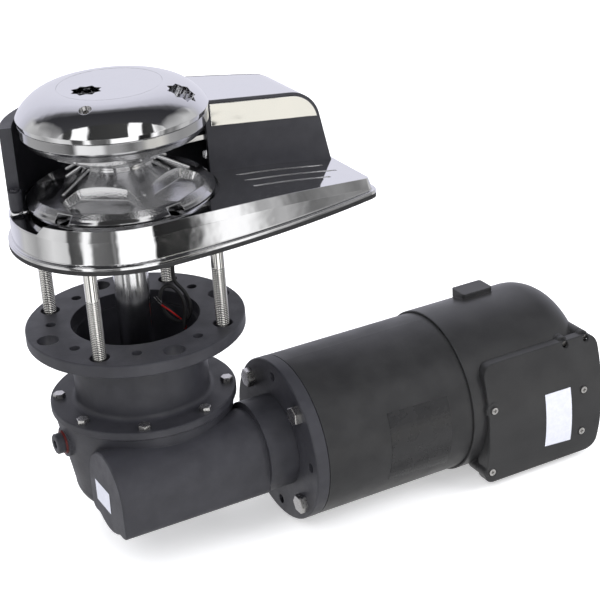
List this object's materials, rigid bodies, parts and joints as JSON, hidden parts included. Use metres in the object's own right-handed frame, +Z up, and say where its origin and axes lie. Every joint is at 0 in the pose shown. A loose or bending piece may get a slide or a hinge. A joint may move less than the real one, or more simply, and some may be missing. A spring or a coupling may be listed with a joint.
{
  "type": "anchor windlass",
  "caption": "Vertical anchor windlass: chain gypsy under a domed drum cap on a teardrop deck base, with worm gearbox and electric motor below.",
  "frame": {"origin": "on the main shaft's axis at the deck surface, the underside of the base gasket", "axes": "+Z up along the main shaft, +X along the motor toward its rear cover, -Y the side that the front panel faces"},
  "size_m": [0.516, 0.2535, 0.4318],
  "materials": {
    "polished_chrome": "mirror polished, cast texture in the pockets",
    "steel": "plain stainless",
    "black_paint": "fine matte powder coat",
    "black_coat": "fine matte powder coat on cast aluminium",
    "black_rubber": "matte",
    "black_plastic": "fine moulded texture",
    "bronze": "machined",
    "red": "moulded"
  },
  "bodies": {
    "frame": {"deck_gasket": "black_rubber", "base": "polished_chrome", "housing": "black_coat", "housing_cover": "polished_chrome", "side_trim": "polished_chrome", "chain_stripper": "steel", "stripper_screws": "steel", "housing_screws": "steel", "deck_studs": "steel", "base_bush": "bronze", "base_seal": "black_rubber", "chain_sensor": "black_plastic", "sensor_cable": "black_rubber", "sensor_loop": "black_rubber", "sensor_wires": "red", "gear_cover": "black_coat", "gear_case": "black_coat", "cover_bolts": "steel", "upper_bearing": "steel", "lower_bearing": "steel", "shaft_seal": "black_rubber", "worm_bearing_left": "steel", "worm_bearing_right": "steel", "worm_seal": "black_rubber", "oil_plug": "steel", "plug_washer": "red", "motor_flange": "black_coat", "flange_bolts": "steel", "flange_screws": "steel", "motor_tube": "black_paint", "magnets": "steel", "motor_front_bearing": "steel", "rear_shield": "black_coat", "motor_rear_bearing": "steel", "brushes": "black_plastic", "terminal_studs": "steel", "rear_cover": "black_plastic", "terminal_lid": "black_plastic", "lid_screws": "steel", "cable_gland": "black_plastic"},
    "shaft": {"main_shaft": "steel", "worm_wheel": "bronze", "wheel_key": "steel", "shaft_circlips": "steel", "lower_clutch_cone": "steel", "cone_key": "steel"},
    "worm": {"worm_shaft": "steel", "drive_coupling": "steel", "armature_core": "steel", "armature_windings": "bronze", "commutator": "bronze"},
    "gypsy": {"gypsy_lower": "polished_chrome", "gypsy_upper": "polished_chrome", "gypsy_screws": "steel"},
    "clutch": {"upper_clutch_cone": "steel"},
    "cap": {"cap_dome": "polished_chrome", "cap_disc": "polished_chrome", "cap_set_screw": "steel"}
  },
  "joints": [
    {"name": "shaft_spin", "type": "hinge", "parent": "frame", "child": "shaft", "pos_m": [0, 0, 0], "axis": [0, 0, 1], "continuous": true},
    {"name": "worm_spin", "type": "hinge", "parent": "frame", "child": "worm", "pos_m": [0, -0.0672, -0.214], "axis": [1, 0, 0], "continuous": true},
    {"name": "gypsy_spin", "type": "hinge", "parent": "shaft", "child": "gypsy", "pos_m": [0, 0, 0.068], "axis": [0, 0, 1], "continuous": true},
    {"name": "clutch_lift", "type": "slide", "parent": "shaft", "child": "clutch", "axis": [0, 0, 1], "range_m": [0, 0.0016]},
    {"name": "cap_turn", "type": "hinge", "parent": "clutch", "child": "cap", "pos_m": [0, 0, 0.11], "axis": [0, 0, 1], "range_deg": [0, 180]}
  ],
  "couplings": [
    {"joint": "worm_spin", "follows": "shaft_spin", "ratio": -35},
    {"joint": "clutch_lift", "follows": "cap_turn", "m_per_rad": 0.00047746}
  ]
}
